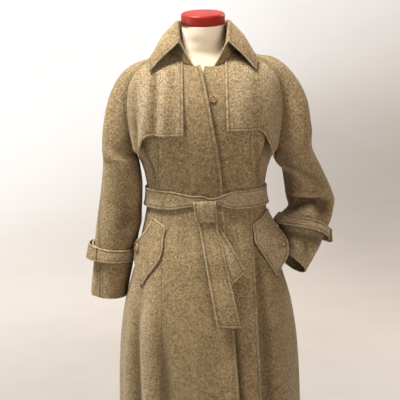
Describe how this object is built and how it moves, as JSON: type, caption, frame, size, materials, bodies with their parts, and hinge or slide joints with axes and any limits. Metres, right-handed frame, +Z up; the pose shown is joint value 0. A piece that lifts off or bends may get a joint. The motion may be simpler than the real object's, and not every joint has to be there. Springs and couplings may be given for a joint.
{
  "type": "tweed coat on a dress form",
  "caption": "Long belted tweed coat with raglan sleeves, a wide pointed collar, storm flaps and slanted pockets, standing on a plain dress form with a pole and round foot.",
  "frame": {"origin": "middle of the underside of the stand's round foot", "axes": "+Z up along the pole, -Y towards the front of the coat, +X towards the wearer's left"},
  "size_m": [0.6227, 0.4312, 1.53],
  "materials": {
    "tweed": "speckled woollen tweed, matt",
    "button": "polished brown",
    "form_cloth": "smooth cream jersey cover",
    "cap_red": "satin red",
    "metal": "satin steel"
  },
  "bodies": {
    "root": {"back": "tweed", "front_right": "tweed", "front_left": "tweed", "side_front_right": "tweed", "side_front_left": "tweed", "sleeve_right_front": "tweed", "sleeve_right_back": "tweed", "sleeve_left_front": "tweed", "sleeve_left_back": "tweed", "collar": "tweed", "storm_flap_right": "tweed", "storm_flap_left": "tweed", "pocket_right": "tweed", "pocket_left": "tweed", "pocket_button_right": "button", "pocket_button_left": "button", "neck_button": "button", "belt": "tweed", "belt_knot": "tweed", "belt_tail_long": "tweed", "belt_tail_short": "tweed", "cuff_strap_right": "tweed", "cuff_strap_left": "tweed", "cuff_tab_right": "tweed", "cuff_tab_left": "tweed", "form_torso": "form_cloth", "neck_cap": "cap_red", "stand_pole": "metal", "stand_base": "metal"}
  },
  "joints": []
}
